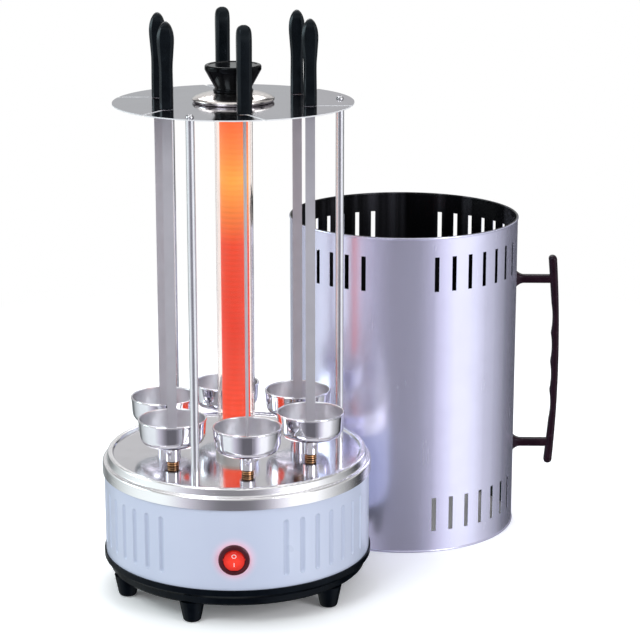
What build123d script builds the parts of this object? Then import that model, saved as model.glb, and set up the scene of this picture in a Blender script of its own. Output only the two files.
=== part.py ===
from build123d import *
import os
from math import cos, pi, radians, sin, tan

# Electric skewer grill: a round base with a geared drive, six turning skewers round an upright
# heater, and a sheet steel casing with a handle that stands beside it. Millimetres, +Z up.
# While it is being built, the base's axis is at X = Y = 0 and the floor at Z = 0. An angle is
# counted from the front (-Y), positive towards the right (+X). The last lines move the whole
# model, so that the origin lies under the middle of its bounding box.

# ---- clearances ----
fit_gap = 0.1             # round a piece that is fixed in its hole
running_gap = 0.05        # radial, round a shaft that turns
seat_gap = 0.3            # over the seat of a piece that turns or lifts
slide_gap = 0.4           # round a piece that lifts out

# ---- base: feet, cover, painted wall ----
foot_height = 18.6
foot_top_radius = 11.0
foot_tip_radius = 7.2
foot_tip_round = 3.0
foot_circle = 100.0
foot_angles = (-69, -21, 51, 99, 171, 219)

cover_height = 15.1
cover_wall = 1.4
cover_floor = 2.5
cover_lip_height = 6.3
cover_step = 3.0          # how far the lower band stands back from the lip
cover_taper = 2.0         # how far the lower band draws in towards the floor
cover_round = 1.5
cover_cavity_wall = 5.0
vent_count = 12
vent_width = 4.0
vent_length = 20.0
vent_circle = 50.0

shell_radius = 113.5
shell_wall = 0.8
shell_height = 69.3       # between the cover and the tray's skirt
shell_lap = 6.0           # how far the wall goes down into the cover
flute_width = 5.3
flute_depth = 1.3
flute_length = 49.0
flute_height = 67.5       # middle of a flute above the floor
flute_pitch = 7.5
flute_count = 7
flute_starts = (22, -32, 148, -158)
flute_turns = (1, -1, -1, 1)

# ---- drip tray, from the skirt to the flat floor ----
tray_overhang = 1.5       # past the painted wall
tray_sheet = 0.7
tray_rise = 15.0          # floor over the skirt's lower edge
groove_inset = 3.3        # these four are counted inwards from the tray's edge
groove_drop = 4.6         # groove below the floor
bead_outer_inset = 4.5
bead_inner_inset = 8.5
bead_rise = 2.4
floor_inset = 9.8
skirt_round = 2.4
groove_round = 0.8
bead_round = 1.8

# ---- posts, top disc and their fasteners ----
post_length = 299.6       # clear height between tray and disc
post_radius = 3.5
post_circle = 89.2
post_angles = (-21, 99, 219)
spigot_radius = 2.0
spigot_length = 12.0
disc_radius = 99.7
disc_sheet = 1.0
disc_hole_radius = 5.0
disc_slot_width = 3.0
disc_slot_lean = 20.0     # degrees between a slot and the radius through its hole
post_screw_head_radius = 3.25
post_screw_head_height = 2.2
post_screw_length = 9.0
standoff_radius = 5.0
pillar_circle = 78.0      # pillars under the mechanism plate, clear of the feet
cover_screw_radius = 1.75
cover_screw_length = 13.0
cover_screw_head_radius = 3.5
cover_screw_head_height = 2.0
screw_head_dome = 0.9     # share of a screw head's height that its round edge takes
screw_recess_span = 1.1   # cross recess, in head radii across its arms
screw_recess_width = 0.28 # width of an arm, in head radii
screw_recess_depth = 0.5  # share of the head's height

# ---- collar and knob on the disc ----
collar_radius = 34.0
collar_height = 8.4
collar_edge = 5.2         # height of the rounded rim
collar_rim_depth = 2.2    # how far the rim's face bulges out
collar_slope = 0.28       # rise of the crown just inside the rim
collar_top_radius = 14.0
collar_sheet = 1.2
stud_radius = 3.0
stud_grip = 8.6           # how deep the stud is screwed into the heater's holder
stud_rise = 13.4          # how far the stud reaches into the knob
knob_waist_radius = 14.8
knob_foot_radius = 16.8
knob_foot_height = 2.0
knob_waist_height = 4.0
knob_radius = 23.4
knob_height = 22.0
knob_band = 4.2           # height of the widest band
knob_round = 1.8
knob_sweep = 2.8          # rounding between waist and cone
knob_dish_radius = 20.0
knob_dish_depth = 0.6

# ---- heater ----
glass_radius = 15.7
glass_wall = 1.8
holder_wall = 2.2
holder_height = 10.0
holder_ledge = 6.0        # depth of ceramic behind the end of the glass
holder_plug = 4.0         # how far the plug inside the glass passes the rim
core_radius = 10.0
core_bore_radius = 4.0
wire_diameter = 1.8
heater_neck_radius = 5.8
heater_neck_length = 8.0

# ---- drive ----
plate_height = 75.5       # top of the mechanism plate over the floor
plate_sheet = 1.5
plate_margin = 1.5        # between the plate and the painted wall
gear_module = 1.5
sun_teeth = 60
station_teeth = 30
pinion_teeth = 15
tooth_backlash = 0.4
tooth_angle = 20.0
tooth_addendum = 0.9      # in modules
tooth_dedendum = 1.25     # in modules
gear_rise = 2.5           # underside of the gears over the plate
gear_face = 7.0           # face width of the pinion and of each station gear
gear_step = 1.0           # between the pinion's top and the station gears' underside
sun_hub_radius = 14.0
sun_hub_height = 4.0
spindle_radius = 10.0
spindle_bore_radius = 7.0
spindle_shoulder_radius = 14.0
pinion_shaft_radius = 3.0
pinion_angle = 39.0
motor_radius = 18.0
motor_length = 18.0
gearbox_radius = 25.0
gearbox_length = 16.0
motor_boss_radius = 6.0
motor_boss_rise = 1.0
motor_shaft_depth = 12.0

# ---- the six skewer stations ----
station_angles = tuple(9 + 60 * number for number in range(6))
shaft_radius = 3.0
pivot_radius = 2.0
shaft_flat = 2.4          # from the shaft's axis to its flat
shaft_top_grip = 11.0     # how far the shaft reaches into the cup's sleeve
bush_radius = 5.0
bush_rise = 4.5           # above the tray
bush_flange_radius = 7.5
bush_flange = 1.8
bush_depth = 8.0          # below the tray
bush_groove = 0.5
lower_bush_radius = 4.0
lower_bush_flange_radius = 5.5
lower_bush_flange = 1.0
lower_bush_depth = 3.0
sleeve_radius = 6.5
sleeve_height = 14.7
cup_radius = 28.5
cup_foot_radius = 27.0
cup_height = 22.0
cup_round = 8.5
cup_sheet = 1.0
cup_rim_radius = 0.9
hub_radius = 6.6
hub_height = 9.0
slot_floor = 1.2          # above the cup's underside

blade_width = 8.0
blade_sheet = 1.6
blade_point = 6.0
tang_length = 24.0
skewer_turns = (0, 21, -39, 0, 21, -39)  # degrees, each skewer and its cup about their own axis
handle_clearance = 0.4    # between the disc and a handle
handle_length = 70.0
handle_sections = (       # share of the length, width, thickness
    (0.0, 10.9, 11.6),
    (0.2, 10.9, 11.8),
    (0.34, 10.6, 11.8),
    (0.47, 10.6, 11.8),
    (0.56, 11.3, 11.8),
    (0.65, 12.5, 11.8),
    (0.72, 13.3, 11.8),
    (0.78, 13.5, 11.8),
    (0.84, 13.0, 11.8),
    (0.88, 12.0, 11.8),
    (0.915, 10.6, 11.6),
    (0.945, 8.8, 10.9),
    (0.97, 6.6, 9.2),
    (0.988, 4.2, 6.6),
    (1.0, 1.9, 3.0),
)
handle_bevel_face = 0.15  # share of the width that a bevel takes
handle_bevel_side = 0.26  # share of the thickness that a bevel takes

# ---- switch and mains gland ----
switch_to_plate = 3.4     # between the switch's barrel and the mechanism plate
bezel_radius = 12.9
bezel_rise = 2.6
barrel_radius = 10.2
barrel_depth = 24.0
rocker_radius = 8.6
rocker_gap = 0.7
rocker_sweep_radius = 9.0
rocker_depth = 3.0
rocker_front = 2.7        # middle of the front face before the hinge
rocker_horn = 1.2         # how much further its ends stand out
rocker_tilt = 8.0         # degrees either way
rocker_hinge_depth = 0.6  # hinge axis behind the face of the painted wall
trunnion_radius = 1.0
trunnion_length = 9.9
gland_height = 50.0
gland_bore_radius = 3.5
gland_barrel_radius = 6.4
gland_flange_radius = 9.0
gland_rise = 5.0
gland_depth = 5.0
terminal_length = 34.0
terminal_width = 14.0
terminal_height = 13.0
terminal_circle = 72.0
terminal_angle = 150.0
terminal_well_radius = 2.2
terminal_well_depth = 6.0
terminal_wells = 3

# ---- casing, standing behind the base on the right ----
casing_x = 150.0
casing_y = 164.0
casing_radius = 104.0
casing_sheet = 0.8
casing_height = 290.0
casing_bead = 1.1
slot_width = 4.2
slot_length = 31.0
slot_pitch = 9.0
slot_count = 7
slot_groups = (40.5, 130.5, 220.5, 310.5)
upper_slot_drop = 18.0    # top end of the upper slots below the rim
lower_slot_rise = 20.0    # lower end of the lower slots above the floor
seam_angle = 178.0
seam_arc = 6.0
handle_angle = 88.0
arm_heights = (73.0, 230.0)
arm_thickness = 7.6
arm_width = 8.6
arm_flare = 3.0
arm_flare_length = 7.0
grip_bottom = 53.0
grip_top = 252.0
grip_reach = 40.6         # outer face of the grip at its middle, from the wall
grip_bow = 4.0
grip_thickness = 7.6
grip_width = 11.0
grip_waves = 4
grip_wave_depth = 1.3
grip_wave_ends = (96.0, 206.0)
grip_round = 3.2
casing_screw_radius = 2.0
casing_screw_length = 12.0
casing_screw_head_radius = 4.0
casing_screw_head_height = 2.0

# ---- levels and radii that follow ----
cover_radius = shell_radius + fit_gap + cover_wall
tray_radius = shell_radius + tray_overhang
groove_radius = tray_radius - groove_inset
bead_outer_radius = tray_radius - bead_outer_inset
bead_inner_radius = tray_radius - bead_inner_inset
floor_radius = tray_radius - floor_inset
cover_level = foot_height
shell_level = cover_level + cover_height
skirt_level = shell_level + shell_height
tray_level = skirt_level + tray_rise
tray_underside = tray_level - tray_sheet
disc_underside = tray_level + post_length
disc_level = disc_underside + disc_sheet
collar_level = disc_level + collar_height
knob_level = collar_level + seat_gap
plate_underside = plate_height - plate_sheet
switch_height = plate_underside - switch_to_plate - barrel_radius
pinion_bottom = plate_height + gear_rise
station_gear_bottom = pinion_bottom + gear_face + gear_step
sun_radius = gear_module * sun_teeth / 2
station_circle = gear_module * (sun_teeth + station_teeth) / 2
pinion_circle = gear_module * (sun_teeth + pinion_teeth) / 2
bush_level = tray_level + bush_rise
sleeve_level = bush_level + seat_gap
cup_level = sleeve_level + sleeve_height
tip_level = cup_level + slot_floor + seat_gap
handle_level = disc_level + handle_clearance
holder_radius = glass_radius + fit_gap + holder_wall
holder_plug_radius = glass_radius - glass_wall - fit_gap
glass_bottom = tray_level + holder_ledge
glass_top = disc_underside - holder_ledge
core_bottom = tray_level + holder_height + holder_plug
core_top = disc_underside - holder_height - holder_plug


# ---- helpers ----
def at(radius, angle, height=0.0):
    # a place round the base's axis, with its own X axis pointing outwards
    turn = radians(angle)
    return Location((radius * sin(turn), -radius * cos(turn), height), (0, 0, angle - 90))


def rod(radius, bottom, top):
    return Pos(0, 0, bottom) * Cylinder(radius, top - bottom, align=(Align.CENTER, Align.CENTER, Align.MIN))


def tube(outer, inner, bottom, top):
    return rod(outer, bottom, top) - rod(inner, bottom, top)


def outwards(radius, start, end):
    # a round bar along the local X axis
    return Pos(start, 0, 0) * Rot(0, 90, 0) * Cylinder(
        radius, end - start, align=(Align.CENTER, Align.CENTER, Align.MIN))


def turned(*points):
    # a solid of revolution from (radius, height) points
    return revolve(Plane.XZ * make_face(Polyline(*points, close=True)), Axis.Z)


def pressed(points, radii, sheet):
    # sheet metal spun to an outline, with its thickness on the outline's left
    outline = FilletPolyline(*points, radius=radii)
    return revolve(Plane.XZ * make_face(outline.offset_2d(sheet, side=Side.LEFT)), Axis.Z)


def joined(shapes):
    shapes = list(shapes)
    return shapes[0].fuse(*shapes[1:])


def apart(shapes):
    # separate solids of one node
    return Compound(children=[solid for shape in shapes for solid in shape.solids()])


def gear(teeth, bottom, first_tooth):
    # straight-flanked spur gear: four points for each tooth
    pitch_radius = gear_module * teeth / 2
    addendum = tooth_addendum * gear_module
    dedendum = tooth_dedendum * gear_module
    half = (pi * gear_module / 2 - tooth_backlash) / 2
    slope = tan(radians(tooth_angle))
    corners = (
        (pitch_radius - dedendum, -half - dedendum * slope),
        (pitch_radius + addendum, -half + addendum * slope),
        (pitch_radius + addendum, half - addendum * slope),
        (pitch_radius - dedendum, half + dedendum * slope),
    )
    outline = []
    for tooth in range(teeth):
        turn = radians(first_tooth + 360 * tooth / teeth)
        for x, y in corners:
            outline.append((x * cos(turn) - y * sin(turn), x * sin(turn) + y * cos(turn)))
    return Pos(0, 0, bottom) * extrude(make_face(Polyline(*outline, close=True)), gear_face)


# ---- base ----
def make_foot():
    side = make_face(Polyline((0, 0), (foot_tip_radius, 0), (foot_top_radius, foot_height),
                              (0, foot_height), close=True))
    corner = side.vertices().sort_by_distance((foot_tip_radius, 0))[0]
    return revolve(Plane.XZ * fillet(corner, foot_tip_round), Axis.Z)


def make_bottom_cover():
    lip_bottom = shell_level - cover_lip_height
    band_radius = cover_radius - cover_step
    foot_radius = band_radius - cover_taper
    ledge = shell_level - shell_lap
    pocket = shell_radius + fit_gap
    cavity = cover_radius - cover_wall - cover_cavity_wall - cover_taper
    floor = cover_level + cover_floor
    body = turned((0, cover_level), (foot_radius - cover_round, cover_level),
                  (foot_radius, cover_level + cover_round), (band_radius, lip_bottom - cover_round),
                  (cover_radius - cover_round, lip_bottom), (cover_radius, lip_bottom + cover_round),
                  (cover_radius, shell_level), (pocket, shell_level), (pocket, ledge),
                  (cavity, ledge), (cavity, floor), (0, floor))
    cuts = [at(pillar_circle, angle) * rod(cover_screw_radius + fit_gap, cover_level, floor)
            for angle in post_angles]
    for number in range(vent_count):
        vent = extrude(SlotOverall(vent_length, vent_width), cover_floor)
        cuts.append(at(vent_circle, number * 360 / vent_count, cover_level) * vent)
    return body - cuts


def make_base_shell():
    top = tray_level - groove_drop - tray_sheet - groove_round
    wall = tube(shell_radius, shell_radius - shell_wall, shell_level - shell_lap, top)
    half = flute_width / 2
    bead = (half ** 2 + flute_depth ** 2) / (2 * flute_depth)
    axis = shell_radius + bead - flute_depth
    straight = flute_length - 2 * half

    def capsule(radius):
        bottom = flute_height - straight / 2
        top_end = flute_height + straight / 2
        return joined([rod(radius, bottom, top_end), Pos(0, 0, bottom) * Sphere(radius),
                       Pos(0, 0, top_end) * Sphere(radius)])

    inside = rod(shell_radius - shell_wall / 2, cover_level, tray_level)
    places = [at(axis, start + turn * flute_pitch * number)
              for start, turn in zip(flute_starts, flute_turns) for number in range(flute_count)]
    backs = [place * (capsule(bead + shell_wall)) & inside for place in places]
    wall = joined([wall] + backs) - [place * capsule(bead) for place in places]
    switch_hole = at(0, 0, switch_height) * outwards(barrel_radius + fit_gap, shell_radius / 2, cover_radius)
    gland_hole = at(0, 180, gland_height) * outwards(gland_barrel_radius + fit_gap, shell_radius / 2,
                                                     cover_radius)
    return wall - [switch_hole, gland_hole]


def make_drip_tray():
    outline = ((tray_radius, skirt_level), (tray_radius, tray_level - groove_drop + tray_sheet),
               (groove_radius, tray_level - groove_drop), (bead_outer_radius, tray_level + bead_rise),
               (bead_inner_radius, tray_level + bead_rise), (floor_radius, tray_level),
               (heater_neck_radius + fit_gap, tray_level))
    radii = (skirt_round, groove_round, bead_round, bead_round, groove_round)
    holes = [at(station_circle, angle) * rod(bush_radius + fit_gap, skirt_level, bush_level)
             for angle in station_angles]
    holes += [at(post_circle, angle) * rod(spigot_radius + fit_gap, skirt_level, bush_level)
              for angle in post_angles]
    return pressed(outline, radii, tray_sheet) - holes


def make_post():
    bar = rod(post_radius, tray_level, disc_underside) + rod(
        spigot_radius, tray_level - spigot_length, tray_level)
    return bar - rod(spigot_radius + fit_gap, disc_level - post_screw_length - fit_gap, disc_underside)


def make_standoffs():
    upper = rod(standoff_radius, plate_height, tray_underside) - rod(
        spigot_radius + fit_gap, tray_level - spigot_length - fit_gap, tray_underside)
    floor = cover_level + cover_floor
    lower = rod(standoff_radius, floor, plate_underside) - rod(
        cover_screw_radius + fit_gap, floor, cover_level + cover_screw_length + fit_gap)
    return apart(at(circle, angle) * piece for angle in post_angles
                 for circle, piece in ((post_circle, upper), (pillar_circle, lower)))


def make_screw(shank_radius, length, head_radius, head_height):
    # round head over Z = 0, shank below it
    head = rod(head_radius, 0, head_height)
    head = fillet(head.edges().sort_by(Axis.Z)[-1], head_height * screw_head_dome)
    arm = Pos(0, 0, head_height) * Box(head_radius * screw_recess_span, head_radius * screw_recess_width,
                                       head_height * screw_recess_depth,
                                       align=(Align.CENTER, Align.CENTER, Align.MAX))
    return head + rod(shank_radius, -length, 0) - (arm + Rot(0, 0, 90) * arm)


def make_top_disc():
    plate = rod(disc_radius, disc_underside, disc_level)
    cuts = [rod(stud_radius + slide_gap, disc_underside, disc_level)]
    for angle in post_angles:
        cuts.append(at(post_circle, angle) * rod(spigot_radius + fit_gap, disc_underside, disc_level))
    for angle in station_angles:
        cuts.append(at(station_circle, angle) * rod(disc_hole_radius, disc_underside, disc_level))
        slot = Box(disc_radius, disc_slot_width, disc_sheet, align=(Align.MIN, Align.CENTER, Align.MIN))
        cuts.append(at(station_circle, angle, disc_underside) * Rot(0, 0, disc_slot_lean) * slot)
    return plate - cuts


def make_centre_collar():
    # spun dome with a rounded rim, seen as a bright flat ring under the knob
    foot_radius = collar_radius - collar_rim_depth
    rim = ThreePointArc((foot_radius, disc_level), (collar_radius, disc_level + collar_edge / 2),
                        (foot_radius, disc_level + collar_edge))
    crown = Spline((foot_radius, disc_level + collar_edge), (collar_top_radius, collar_level),
                   tangents=((-1, collar_slope), (-1, 0)))
    inner = stud_radius + slide_gap
    top = Polyline((collar_top_radius, collar_level), (inner, collar_level),
                   (inner, collar_level - collar_sheet), (collar_top_radius, collar_level - collar_sheet))
    bend = (foot_radius - 2 * collar_sheet, disc_level + collar_edge - collar_sheet)
    under = Polyline((collar_top_radius, collar_level - collar_sheet), bend,
                     (foot_radius - collar_sheet, disc_level))
    foot = Line((foot_radius - collar_sheet, disc_level), (foot_radius, disc_level))
    return revolve(Plane.XZ * make_face([rim, crown, top, under, foot]), Axis.Z)


def make_knob():
    top = knob_level + knob_height
    side = make_face(Polyline(
        (0, knob_level), (knob_foot_radius, knob_level), (knob_foot_radius, knob_level + knob_foot_height),
        (knob_waist_radius, knob_level + knob_waist_height),
        (knob_radius, top - knob_band), (knob_radius, top), (knob_dish_radius, top),
        (knob_dish_radius - knob_dish_depth, top - knob_dish_depth), (0, top - knob_dish_depth), close=True))
    corners = [side.vertices().sort_by_distance(point)[0]
               for point in ((knob_radius, top), (knob_radius, top - knob_band))]
    side = fillet(corners, knob_round)
    waist = side.vertices().sort_by_distance((knob_waist_radius, knob_level + knob_waist_height))[0]
    body = revolve(Plane.XZ * fillet(waist, knob_sweep), Axis.Z)
    return body - rod(stud_radius + running_gap, knob_level, collar_level + stud_rise + seat_gap)


# ---- heater ----
def make_heater_base():
    rim = tray_level + holder_height
    body = rod(holder_radius, tray_level, rim) + rod(holder_plug_radius, rim, core_bottom)
    body += rod(heater_neck_radius, tray_level - heater_neck_length, tray_level)
    groove = tube(glass_radius + fit_gap, holder_plug_radius, glass_bottom, rim)
    bore = rod(core_bore_radius, tray_level - heater_neck_length, core_bottom)
    return chamfer_rim(body, rim) - groove - bore


def make_heater_top_holder():
    rim = disc_underside - holder_height
    body = rod(holder_radius, rim, disc_underside) + rod(holder_plug_radius, core_top, rim)
    groove = tube(glass_radius + fit_gap, holder_plug_radius, rim, glass_top)
    bore = rod(stud_radius + slide_gap / 2, disc_underside - stud_grip - seat_gap, disc_underside)
    return chamfer_rim(body, rim) - groove - bore


def chamfer_rim(body, level):
    edge = body.edges().filter_by(GeomType.CIRCLE).filter_by(
        lambda e: abs(e.center().Z - level) < fit_gap and abs(e.radius - holder_radius) < fit_gap)
    return chamfer(edge, holder_wall / 3)


def make_heater_coil():
    # outer shape of the close turns of wire, which glow as one even column
    inner = core_radius + fit_gap
    return tube(inner + wire_diameter, inner, core_bottom, core_top)


# ---- drive ----
def make_spindle():
    body = rod(spindle_radius, plate_height, tray_underside)
    shoulder = rod(spindle_shoulder_radius, plate_height, pinion_bottom - seat_gap)
    return body + shoulder - rod(spindle_bore_radius, plate_height, tray_underside)


def make_sun_gear():
    lower = gear(sun_teeth, pinion_bottom, station_angles[0] - 90)
    upper = Pos(0, 0, gear_face + gear_step) * lower
    web = rod(sun_radius - 2 * gear_module, pinion_bottom + gear_face, station_gear_bottom)
    top = station_gear_bottom + gear_face
    hub = rod(sun_hub_radius, top, top + sun_hub_height)
    return joined([lower, web, upper, hub]) - rod(spindle_radius + running_gap, pinion_bottom,
                                                  top + sun_hub_height)


def make_station_gear():
    first_tooth = 180 + 180 / station_teeth
    body = gear(station_teeth, station_gear_bottom, first_tooth)
    return body - rod(shaft_radius, station_gear_bottom, station_gear_bottom + gear_face)


def make_motor_pinion():
    body = gear(pinion_teeth, pinion_bottom, 180 + 180 / pinion_teeth)
    return body + rod(pinion_shaft_radius, plate_underside - motor_shaft_depth + seat_gap,
                      pinion_bottom + gear_face + gear_step / 2)


def make_geared_motor():
    gearbox_bottom = plate_underside - gearbox_length
    boss_top = plate_height + motor_boss_rise
    body = joined([rod(motor_radius, gearbox_bottom - motor_length, gearbox_bottom),
                   rod(gearbox_radius, gearbox_bottom, plate_underside),
                   rod(motor_boss_radius, plate_underside, boss_top)])
    return body - rod(pinion_shaft_radius + running_gap, plate_underside - motor_shaft_depth, boss_top)


def make_mechanism_plate():
    plate_radius = shell_radius - shell_wall - plate_margin
    plate = tube(plate_radius, spindle_bore_radius, plate_underside, plate_height)
    cuts = [at(station_circle, angle) * rod(lower_bush_radius + fit_gap, plate_underside, plate_height)
            for angle in station_angles]
    cuts.append(at(pinion_circle, pinion_angle) * rod(motor_boss_radius + fit_gap, plate_underside,
                                                      plate_height))
    return plate - cuts


def make_bushes():
    upper = rod(bush_radius, tray_underside - bush_depth, bush_level)
    upper += rod(bush_flange_radius, tray_underside - bush_flange, tray_underside)
    ring = tube(bush_radius, bush_radius - bush_groove, 0, bush_rise / 5)
    upper -= [Pos(0, 0, tray_level + bush_rise * share) * ring for share in (0.25, 0.6)]
    upper -= rod(shaft_radius + running_gap, tray_underside - bush_depth, bush_level)
    flange_top = plate_height + lower_bush_flange
    lower = rod(lower_bush_radius, plate_height - lower_bush_depth, flange_top)
    lower += rod(lower_bush_flange_radius, plate_height, flange_top)
    lower -= rod(pivot_radius + running_gap, plate_height - lower_bush_depth, flange_top)
    return apart(at(station_circle, angle) * bush for angle in station_angles for bush in (upper, lower))


# ---- a skewer station, built on its own axis with X pointing outwards ----
def make_shaft():
    shoulder = plate_height + lower_bush_flange + seat_gap
    top = sleeve_level + shaft_top_grip
    body = rod(shaft_radius, shoulder, top) + rod(pivot_radius, plate_height - lower_bush_depth, shoulder)
    flat = Pos(shaft_flat, 0, sleeve_level) * Box(shaft_radius, 2 * shaft_radius, shaft_top_grip,
                                                  align=(Align.MIN, Align.CENTER, Align.MIN))
    return body - flat


def make_cup():
    rim = cup_level + cup_height
    bowl = pressed(((0, cup_level), (cup_foot_radius, cup_level), (cup_radius, rim - cup_rim_radius)),
                   (cup_round,), cup_sheet)
    curl = Pos(0, 0, rim - cup_rim_radius) * Torus(cup_radius - cup_sheet / 2, cup_rim_radius)
    body = joined([bowl, curl, rod(sleeve_radius, sleeve_level, cup_level),
                   rod(hub_radius, cup_level, cup_level + hub_height)])
    bore_top = sleeve_level + shaft_top_grip + seat_gap
    bore = rod(shaft_radius + fit_gap, sleeve_level, bore_top)
    bore -= Pos(shaft_flat + fit_gap, 0, sleeve_level) * Box(
        shaft_radius, 2 * sleeve_radius, bore_top - sleeve_level, align=(Align.MIN, Align.CENTER, Align.MIN))
    slot = Pos(0, 0, cup_level + slot_floor) * Box(
        blade_width + 2 * slide_gap, blade_sheet + 2 * slide_gap, hub_height,
        align=(Align.CENTER, Align.CENTER, Align.MIN))
    return body - bore - slot


def make_blade():
    half = blade_width / 2
    outline = Polyline((0, tip_level), (half, tip_level + blade_point), (half, handle_level + tang_length),
                       (-half, handle_level + tang_length), (-half, tip_level + blade_point), close=True)
    return extrude(Plane.XZ * make_face(outline), blade_sheet / 2, both=True)


def make_handle():
    # ruled loft through eight-sided sections: slim neck, swollen belly, pointed end, bevelled edges
    faces = []
    for share, width, depth in handle_sections:
        flat = width / 2 - width * handle_bevel_face
        side = depth / 2 - depth * handle_bevel_side
        outline = Polyline((flat, depth / 2), (-flat, depth / 2), (-width / 2, side), (-width / 2, -side),
                           (-flat, -depth / 2), (flat, -depth / 2), (width / 2, -side), (width / 2, side),
                           close=True)
        faces.append(Pos(0, 0, handle_level + share * handle_length) * make_face(outline))
    tang = Pos(0, 0, handle_level) * Box(
        blade_width + 2 * fit_gap, blade_sheet + 2 * fit_gap, tang_length + fit_gap,
        align=(Align.CENTER, Align.CENTER, Align.MIN))
    return loft(faces, ruled=True) - tang


# ---- switch, gland and terminals, each built with X pointing outwards from the base's axis ----
def make_switch_housing():
    face = shell_radius + bezel_rise
    bezel = outwards(bezel_radius, shell_radius - bezel_rise, face)
    bezel = fillet(bezel.edges().sort_by(Axis.X)[-1], bezel_rise / 2)
    wall = Pos(0, 0, -switch_height) * rod(shell_radius + fit_gap / 2, cover_level, tray_level)
    barrel = outwards(barrel_radius, shell_radius - barrel_depth, shell_radius)
    well_end = shell_radius - rocker_hinge_depth - rocker_sweep_radius
    well = outwards(rocker_radius + rocker_gap, well_end, face)
    hinge = Pos(shell_radius - rocker_hinge_depth, 0, 0) * Rot(90, 0, 0)
    return bezel - wall + barrel - well - hinge * Cylinder(trunnion_radius + running_gap, 2 * barrel_radius)


def make_switch_rocker():
    # built about its hinge axis (Y), then tilted with its lower half pressed in
    half = rocker_sweep_radius
    side = Plane.XZ * make_face(Polyline(
        (-rocker_depth, -half), (rocker_front + rocker_horn, -half), (rocker_front, 0),
        (rocker_front + rocker_horn, half), (-rocker_depth, half), close=True))
    body = extrude(side, rocker_radius, both=True) & outwards(rocker_radius, -half, half)
    body &= Rot(90, 0, 0) * Cylinder(rocker_sweep_radius, 2 * half)
    body += Rot(90, 0, 0) * Cylinder(trunnion_radius, 2 * trunnion_length)
    return Pos(shell_radius - rocker_hinge_depth, 0, 0) * Rot(0, rocker_tilt, 0) * body


def make_mains_gland():
    outer = outwards(gland_flange_radius, shell_radius - shell_wall, shell_radius + gland_rise / 2)
    nose = outwards(gland_barrel_radius, shell_radius, shell_radius + gland_rise)
    inner = outwards(gland_flange_radius - fit_gap, shell_radius - shell_wall - gland_depth, shell_radius)
    body = joined([outer, nose, inner])
    level = gland_height
    ring = Pos(0, 0, -level) * tube(shell_radius + fit_gap / 2, shell_radius - shell_wall - fit_gap / 2,
                                    cover_level, tray_level)
    barrel = outwards(gland_barrel_radius, 0, 2 * shell_radius)
    bore = outwards(gland_bore_radius, 0, 2 * shell_radius)
    return body - (ring - barrel) - bore


def make_terminal_block():
    block = Box(terminal_width, terminal_length, terminal_height,
                align=(Align.CENTER, Align.CENTER, Align.MIN))
    step = terminal_length / terminal_wells
    wells = [Pos(0, step * (number - (terminal_wells - 1) / 2), 0)
             * rod(terminal_well_radius, terminal_height - terminal_well_depth, terminal_height)
             for number in range(terminal_wells)]
    return Pos(0, 0, cover_level + cover_floor) * (block - wells)


# ---- casing, built about its own axis ----
def make_casing_shell():
    wall = tube(casing_radius, casing_radius - casing_sheet, 0, casing_height)
    ring = Torus(casing_radius - casing_sheet / 2, casing_bead)
    seam = tube(casing_radius - casing_sheet / 2, casing_radius - 2 * casing_sheet, 2 * casing_bead,
                casing_height - 2 * casing_bead)
    far = 2 * casing_radius
    wedge = Polyline((0, 0), (far, -far * tan(radians(seam_arc / 2))),
                     (far, far * tan(radians(seam_arc / 2))), close=True)
    seam &= at(0, seam_angle) * extrude(make_face(wedge), casing_height)
    body = joined([wall, Pos(0, 0, casing_bead) * ring, Pos(0, 0, casing_height - casing_bead) * ring, seam])
    slot = Box(4 * slot_width, slot_width, slot_length, align=(Align.CENTER, Align.CENTER, Align.MIN))
    cuts = []
    for middle in slot_groups:
        for number in range(slot_count):
            angle = middle + slot_pitch * (number - (slot_count - 1) / 2)
            for level in (lower_slot_rise, casing_height - upper_slot_drop - slot_length):
                cuts.append(at(casing_radius, angle, level) * slot)
    cuts += [at(0, handle_angle, level) * outwards(casing_screw_radius + fit_gap, casing_radius / 2,
                                                   casing_radius + casing_bead) for level in arm_heights]
    return body - cuts


def make_casing_handle():
    # side outline: bowed outer face, finger waves on the inner one, rounded ends
    face = casing_radius + grip_reach
    end = face - grip_bow
    inner = face - grip_thickness
    middle = (grip_bottom + grip_top) / 2
    low, high = grip_wave_ends
    outer = ThreePointArc((end, grip_bottom), (face, middle), (end, grip_top))
    step = (high - low) / grip_waves
    waves = [SagittaArc((inner, high - step * number), (inner, high - step * (number + 1)), grip_wave_depth)
             for number in range(grip_waves)]
    foot = end - grip_thickness
    outline = [outer, Line((end, grip_top), (foot, grip_top)), Line((foot, grip_top), (inner, high)), *waves,
               Line((inner, low), (foot, grip_bottom)), Line((foot, grip_bottom), (end, grip_bottom))]
    side = make_face(outline)
    ends = [side.vertices().sort_by_distance(point)[0]
            for point in ((end, grip_top), (foot, grip_top), (foot, grip_bottom), (end, grip_bottom))]
    grip = extrude(Plane.XZ * fillet(ends, grip_round), grip_width / 2, both=True)
    grip &= casing_handle_section(face)
    half = arm_thickness / 2
    root = casing_radius - arm_flare_length
    spread = casing_radius + arm_flare_length
    arms = []
    for level in arm_heights:
        arm = make_face(Polyline((root, half + arm_flare), (casing_radius, half + arm_flare), (spread, half),
                                 (inner, half), (inner, -half), (spread, -half),
                                 (casing_radius, -half - arm_flare), (root, -half - arm_flare), close=True))
        arms.append(Pos(0, 0, level) * extrude(Plane.XZ * arm, arm_width / 2, both=True))
    body = joined([grip] + arms) - rod(casing_radius + fit_gap, 0, casing_height)
    bore_end = casing_radius + casing_screw_length + fit_gap
    bores = [Pos(0, 0, level) * outwards(casing_screw_radius + fit_gap, casing_radius, bore_end)
             for level in arm_heights]
    return at(0, handle_angle) * (body - bores)


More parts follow.
